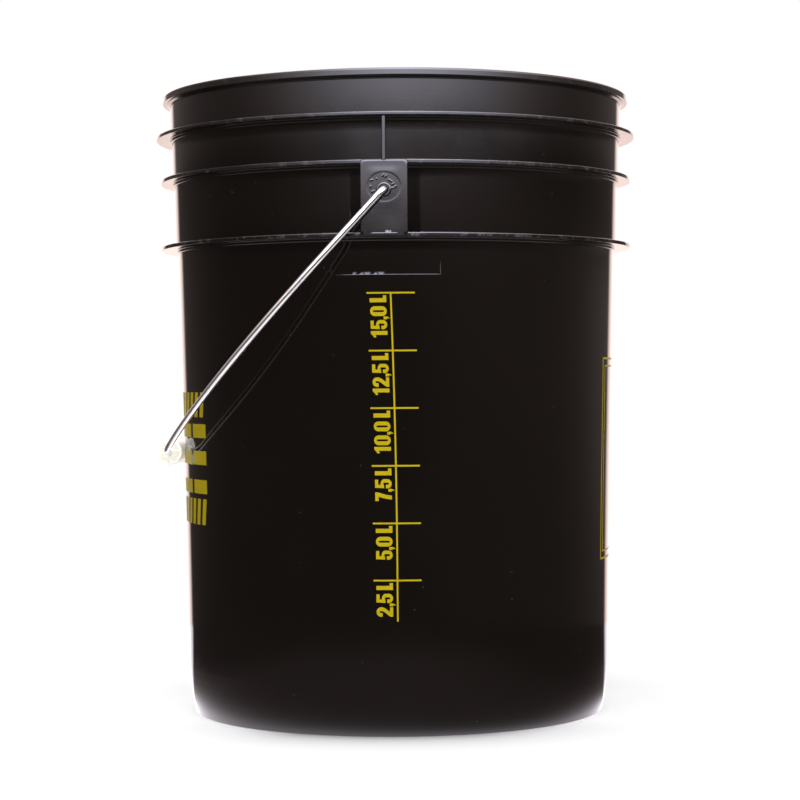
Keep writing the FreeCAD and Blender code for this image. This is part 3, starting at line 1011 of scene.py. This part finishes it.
def side_frame_print():
    """Two plain rectangles, one inside the other."""
    z_low, z_high = FRAME_Z
    half = radians(FRAME_HALF) * wall_radius(z_high)
    shapes = []
    for inset, width in FRAME_LINES:
        outer = rectangle(-half + inset, half - inset, z_low + inset, z_high - inset)
        far = inset + width
        inner = rectangle(-half + far, half - far, z_low + far, z_high - far)
        shapes.append([outer, inner])
    return ink_film("side_frame", shapes, side_place(FRAME_CENTRE, z_high))


# ---- shader helpers
class Link:
    """A value in a node tree. Sums of links read as plain sums and make the nodes they need."""

    def __init__(self, tree, socket):
        self.tree = tree
        self.socket = socket

    def node(self, kind, inputs, output=0, **settings):
        """The output of a new node in the same tree."""
        return Link(self.tree, add_node(self.tree, kind, inputs, **settings).outputs[output])

    def math(self, operation, *values):
        return self.node("Math", dict(enumerate(values)), operation=operation)

    def __add__(self, other):
        return self.math("ADD", self, other)

    def __sub__(self, other):
        return self.math("SUBTRACT", self, other)

    def __mul__(self, other):
        return self.math("MULTIPLY", self, other)

    def __truediv__(self, other):
        return self.math("DIVIDE", self, other)

    def __pow__(self, other):
        return self.math("POWER", self, other)

    def __abs__(self):
        return self.math("ABSOLUTE", self)

    def exponent(self):
        return self.math("EXPONENT", self)

    def at_least(self, other):
        return self.math("MAXIMUM", self, other)

    def ramp(self, low, high, to_low=0.0, to_high=1.0):
        """Smoothly step this value from one range to another."""
        inputs = {
            "Value": self, "From Min": low, "From Max": high, "To Min": to_low, "To Max": to_high,
        }
        return self.node("MapRange", inputs, "Result", interpolation_type="SMOOTHSTEP")


def add_node(tree, kind, inputs, **settings):
    """Make a shader node. Inputs are given by name or number, as values or as links."""
    node = tree.nodes.new("ShaderNode" + kind)
    for key, value in settings.items():
        setattr(node, key, value)
    for key, value in inputs.items():
        if isinstance(value, Link):
            tree.links.new(value.socket, node.inputs[key])
        else:
            node.inputs[key].default_value = value
    return node


def parts(vector):
    """The vector's x, y and z."""
    return [vector.node("SeparateXYZ", {"Vector": vector}, k) for k in range(3)]


def level_length(x, y):
    return (x * x + y * y) ** 0.5


def ray_is(tree, kind):
    """One for rays of this kind and nought for others."""
    return Link(tree, add_node(tree, "LightPath", {}).outputs["Is %s Ray" % kind])


def noise(place, scale, detail=3.0, roughness=0.5):
    inputs = {"Vector": place, "Scale": scale, "Detail": detail, "Roughness": roughness}
    return place.node("TexNoise", inputs, "Fac")


def blend(share, first, second):
    """Mix two colours."""
    return share.node("Mix", {0: share, 6: first, 7: second}, 2, data_type="RGBA")


def bump(height, distance, strength, before=None):
    inputs = {"Height": height, "Distance": distance, "Strength": strength}
    if before is not None:
        inputs["Normal"] = before
    return height.node("Bump", inputs, "Normal")


def stretched(place, x, y, z):
    return place.node("Mapping", {"Vector": place, "Scale": (x, y, z)})


def new_material(name):
    material = bpy.data.materials.new(name)
    material.use_nodes = True
    tree = material.node_tree
    tree.nodes.clear()
    return material, Link(tree, add_node(tree, "TexCoord", {}).outputs["Object"])


def finish_material(material, settings):
    tree = material.node_tree
    shader = Link(tree, add_node(tree, "BsdfPrincipled", settings).outputs["BSDF"])
    add_node(tree, "OutputMaterial", {"Surface": shader})
    return material


# ---- materials
def dust_specks(place):
    """One inside a few small round specks and nought elsewhere."""
    cells = add_node(place.tree, "TexVoronoi", {"Vector": place, "Scale": 190.0}).outputs
    colour = Link(place.tree, cells["Color"])
    draw = place.node("SeparateColor", {"Color": colour})
    chosen = draw.math("GREATER_THAN", draw, 0.93)
    return chosen * Link(place.tree, cells["Distance"]).ramp(0.05, 0.11, 1.0, 0.0)


def edge_wear(place):
    """One where the rim and the flange edges are scuffed, and nought on the pads."""
    x, y, _ = parts(place)
    at_edge = level_length(x, y).ramp(0.1506, 0.1513)
    scuffs = noise(place, 160.0, 5.0, 0.7).ramp(0.50, 0.68)
    off_pad = abs(x).ramp(0.0145, 0.016)
    return at_edge * scuffs * off_pad


def black_plastic():
    """Glossy black polypropylene with dust, handling marks and worn flange edges."""
    material, place = new_material("black_shell_moulded")
    wear = edge_wear(place)
    base = blend(noise(place, 22.0, 4.0), SHELL_DEEP, SHELL_PALE)
    base = blend(dust_specks(place) * 0.30, base, SHELL_DUST)
    base = blend(wear * 0.35, base, SHELL_WORN)

    smudge = noise(place, 13.0, 5.0, 0.6).ramp(0.45, 0.75)
    fine = noise(place, 420.0, 3.0, 0.6)
    roughness = smudge * 0.04 + 0.06 + fine * 0.03 + wear * 0.15

    waves = noise(stretched(place, 1.0, 1.0, 0.6), 26.0, 2.0)
    peel = noise(place, 650.0, 2.0)
    scratches = noise(stretched(place, 500.0, 500.0, 40.0), 1.0, 3.0)
    normal = bump(waves, 0.00012, 0.3)
    normal = bump(peel, 0.00001, 0.3, normal)
    normal = bump(scratches, 0.000004, 0.3, normal)
    return finish_material(material, {
        "Base Color": base, "Roughness": roughness, "IOR": 1.49, "Normal": normal,
    })


def yellow_ink():
    """Screen-printed ink: slightly uneven, with painted shade making it darker where it goes round
    the sides.
    """
    material, place = new_material("yellow_ink_printed")
    cloud = noise(place, 90.0, 4.0, 0.6)
    thin = noise(place, 900.0, 3.0, 0.7).ramp(0.55, 0.8)
    colour = blend(cloud, INK_DEEP, INK_BRIGHT)
    colour = blend(thin * 0.25, colour, INK_THIN)
    # painted shade: ink at the pail's sides (large |x|) is blended toward a dark colour
    colour = blend(abs(parts(place)[0]).ramp(0.05, 0.115, 0.0, 0.40), colour, INK_SIDE_PAINTED_SHADE)
    return finish_material(material, {
        "Base Color": colour, "Roughness": cloud * 0.15 + 0.30, "IOR": 1.45,
        "Normal": bump(noise(place, 700.0, 3.0), 0.00006, 0.5), "Specular IOR Level": 0.10,
    })


def zinc_wire():
    """Bright drawn steel wire with a few dull spots; its colour is painted darker for glossy rays,
    a painted dimmer reflection in the wall.
    """
    material, place = new_material("bail_steel_drawn")
    dull = noise(place, 60.0, 5.0, 0.65).ramp(0.48, 0.75)
    colour = blend(dull, WIRE_BRIGHT, WIRE_DULL)
    # painted reflection: glossy rays see the wire darkened, so its reflection in the wall is dimmer
    colour = blend(ray_is(place.tree, "Glossy") * 0.6, colour, WIRE_PAINTED_REFLECTION)
    return finish_material(material, {
        "Base Color": colour, "Metallic": 0.9, "Roughness": dull * 0.16 + 0.12,
        "Normal": bump(noise(place, 1500.0, 4.0, 0.6), 0.00003, 0.4),
    })


def natural_plastic():
    """Uncoloured translucent polyethylene; a faint glow stands for light carried through it."""
    material, place = new_material("natural_grip_moulded")
    cloud = noise(place, 120.0, 4.0, 0.6)
    colour = blend(cloud, GRIP_DEEP, GRIP_PALE)
    return finish_material(material, {
        "Base Color": colour, "Roughness": cloud * 0.14 + 0.28, "IOR": 1.51,
        "Normal": bump(noise(place, 500.0, 3.0), 0.00006, 0.4),
        "Subsurface Weight": 0.6, "Subsurface Radius": (1.0, 0.9, 0.75), "Subsurface Scale": 0.004,
        "Transmission Weight": 0.12, "Emission Color": colour, "Emission Strength": 0.19,
    })


def paper_glow(x, y, away, side, ahead):
    """Painted reflection of the table for glossy surfaces: an emission, bright at the foot, fading
    outward, lit behind.
    """
    reach = abs(side) ** 4.0 * 0.008 + 0.0055 - side * 0.003
    fall = (away / reach) ** 2.0 + 1.0
    at_foot = fall.math("DIVIDE", 2.3, fall)

    nearer = away - ahead.ramp(-1.0, 0.2, 1.0, -0.8) * 0.13
    flank = (side * 1.4).at_least(side * -0.9)
    sheen = nearer.ramp(0.13, 0.36, 0.13, 0.0) * (flank ** 4.0 * -0.25 + 1.05)
    rest = ahead.ramp(-0.2, 0.4, 0.06, 0.045)

    depth = y.at_least(1e-3)
    spread = (abs(x) - wall_radius(0) * MM) / depth + side.ramp(-0.1, 0.1, 0.0, 0.135)
    behind = spread.ramp(0.50, 0.66, 1.5, 0.0) * depth.ramp(0.0, 0.02)

    slope = x.node("LayerWeight", {"Blend": 0.5}, "Facing")
    from_above = slope.ramp(0.28, 0.44, 0.9, 0.0)
    # painted reflection: the sum of the painted glow and sheen terms
    strength = at_foot + sheen + rest + behind + from_above
    tint = blend(strength.ramp(0.1, 0.7), GLOW_DIM, GLOW_FULL)
    return x.node("Emission", {"Color": tint, "Strength": strength})


def paper_white():
    """Pale paper with a painted contact shadow just in front of the foot, and painted light lifting
    it at its sides for camera rays.

    Glossy rays see a painted glow in its place, standing in for the table's reflection, as under a
    soft flag.
    """
    material, place = new_material("table_paper")
    x, y, _ = parts(place)
    radius = level_length(x, y)
    away = (radius - wall_radius(0) * MM).at_least(0.0)
    radius = radius.at_least(1e-3)
    side = x / radius
    ahead = y / radius

    in_front = side.ramp(-0.78, -0.38) * side.ramp(0.35, 0.95, 1.0, 0.0)
    in_front = in_front * ahead.ramp(-0.3, 0.2, 1.0, 0.0)
    # painted shadow: the paper is darkened toward black just in front of the foot
    painted_shadow = (away / -0.020).exponent() * 0.6 * in_front
    colour = blend(noise(place, 8.0, 4.0), PAPER_DEEP, PAPER_PALE)
    colour = blend(painted_shadow, colour, (0.0, 0.0, 0.0, 1))
    paper = place.node("BsdfDiffuse", {"Color": colour})

    # painted light: camera rays see extra emission at the sides of the foot, lifting the shade
    # there
    at_sides = abs(side).ramp(0.72, 0.95, 0.0, ray_is(place.tree, "Camera"))
    painted_lift = (away / -0.028).exponent() * 0.22 * at_sides
    painted_lift = place.node("Emission", {"Strength": painted_lift})
    paper = place.node("AddShader", {0: paper, 1: painted_lift})
    glow = paper_glow(x, y, away, side, ahead)
    mixed = place.node("MixShader", {0: ray_is(place.tree, "Glossy"), 1: paper, 2: glow})
    add_node(place.tree, "OutputMaterial", {"Surface": mixed})
    return material


# ---- table, light and camera
def table_top():
    """Pale round table under the pail."""
    rings = []
    for share, z in ((0.4, 0), (0.8, 0), (0.98, 0), (1.0, -0.003), (1.0, -TABLE_THICK)):
        reach = TABLE_R * share
        ring = []
        for a in full_turn(TABLE_SIDES):
            ring.append((reach * cos(a), TABLE_Y + reach * sin(a), z))
        rings.append(ring)
    mesh = rings_mesh("table", rings, (0, TABLE_Y, 0), (0, TABLE_Y, -TABLE_THICK))
    table = new_object("pale_table", mesh)
    table.data.materials.append(paper_white())


def studio_light(direction):
    """What glossy surfaces see of the studio, and how far each direction is to the front."""
    x, y, z = parts(direction)
    level = level_length(x, y).at_least(1e-4)

    def toward(target):
        """Cosine of the turn from a level target, ignoring any tilt."""
        dot = {0: direction, 1: target}
        dot = direction.node("VectorMath", dot, "Value", operation="DOT_PRODUCT")
        return dot / level

    facing = toward(BOX_DIRECTION) * 0.5 + 0.5
    front = facing ** 5.5 * 0.97 + 0.03
    skirt = z.ramp(0.0, 0.06, 0.0, 0.45)
    box = (skirt + z.ramp(0.074, 0.090, 0.0, 3.4) + z.ramp(0.095, 0.14, 0.0, 2.9)) * front
    sheet = toward(SHEET_DIRECTION).ramp(0.885, 0.940, 0.0, 1.5)
    frontal = facing ** 2.0
    sky = z.ramp(0.16, 0.30) * (frontal * 6.6 + 0.6) * x.ramp(-0.7, -0.2, 0.2, 1.0)
    right = x.ramp(0.1, 0.8) * z.ramp(-0.10, 0.0, 0.05, 0.09) * z.ramp(0.02, 0.06, 1.0, 0.0)
    back = y.ramp(0.0, 0.7) * z.ramp(-0.12, -0.02, 0.0, 0.04) * z.ramp(0.02, 0.06, 1.0, 0.5)
    total = box + sheet + sky + right + back + 0.05
    cool = z.ramp(0.03, 0.12) * front.ramp(0.0, 0.6, 0.1, 1.0)
    tint = blend(cool, STUDIO_WARM, STUDIO_COOL)
    return x.node("Background", {"Color": tint, "Strength": total}), frontal


def studio_world():
    """White to the camera and, weaker behind, to matt surfaces; a lit studio to glossy ones."""
    world = bpy.data.worlds.new("studio")
    bpy.context.scene.world = world
    world.use_nodes = True
    tree = world.node_tree
    tree.nodes.clear()
    direction = Link(tree, add_node(tree, "TexCoord", {}).outputs["Generated"])
    studio, frontal = studio_light(direction)
    strength = (frontal * 0.8 + 0.6).at_least(ray_is(tree, "Camera"))
    strength = strength.math("MINIMUM", strength, ray_is(tree, "Diffuse") + 1.0)
    white = strength.node("Background", {"Color": (1, 1, 1, 1), "Strength": strength})
    inputs = {0: ray_is(tree, "Glossy"), 1: white, 2: studio}
    add_node(tree, "OutputWorld", {"Surface": white.node("MixShader", inputs)})


def overhead_light():
    """Large soft light above the pail, aimed at its foot."""
    data = bpy.data.lights.new("overhead", "AREA")
    data.shape = "RECTANGLE"
    data.size = data.size_y = OVERHEAD_SIZE
    data.energy = OVERHEAD_WATTS
    light = new_object("overhead", data)
    light.location = OVERHEAD_PLACE
    light.rotation_euler = (-light.location).to_track_quat("-Z", "Y").to_euler()


def camera():
    """Level view of the pail from 1.47 m, slightly rolled as in a hand-set product shot."""
    data = bpy.data.cameras.new("camera")
    data.sensor_width = 36.0
    data.lens = 101.07
    thing = new_object("camera", data)
    turn = radians(2.6)
    distance, height = 1.470, 0.2115
    thing.location = (distance * sin(turn), -distance * cos(turn), height)
    pan, tilt, roll = radians(-0.075), radians(-0.446), radians(-0.4)
    level = Matrix.Rotation(turn + pan, 4, "Z") @ Matrix.Rotation(pi / 2 + tilt, 4, "X")
    thing.rotation_euler = (level @ Matrix.Rotation(roll, 4, "Z")).to_euler()
    data.clip_start, data.clip_end = 0.05, 20.0
    bpy.context.scene.camera = thing


# ---- put together
def place_piece(piece, body, node, material):
    piece.data.materials.clear()
    piece.data.materials.append(material)
    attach(piece, body)
    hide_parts(node)


ink = yellow_ink()
place_piece(bucket_shell(), "bucket", "bucket_shell", black_plastic())
place_piece(bail_wire(), "bail", "bail_wire", zinc_wire())
place_piece(hand_grip(), "grip", "hand_grip", natural_plastic())
place_piece(graduation_lines(), "bucket", "graduation_lines", ink)
place_piece(graduation_numerals(), "bucket", "graduation_numerals", ink)
place_piece(side_stripe_print(), "bucket", "side_stripe_print", ink)
place_piece(side_frame_print(), "bucket", "side_frame_print", ink)

table_top()
studio_world()
overhead_light()
camera()
bpy.context.scene.view_settings.view_transform = "Standard"
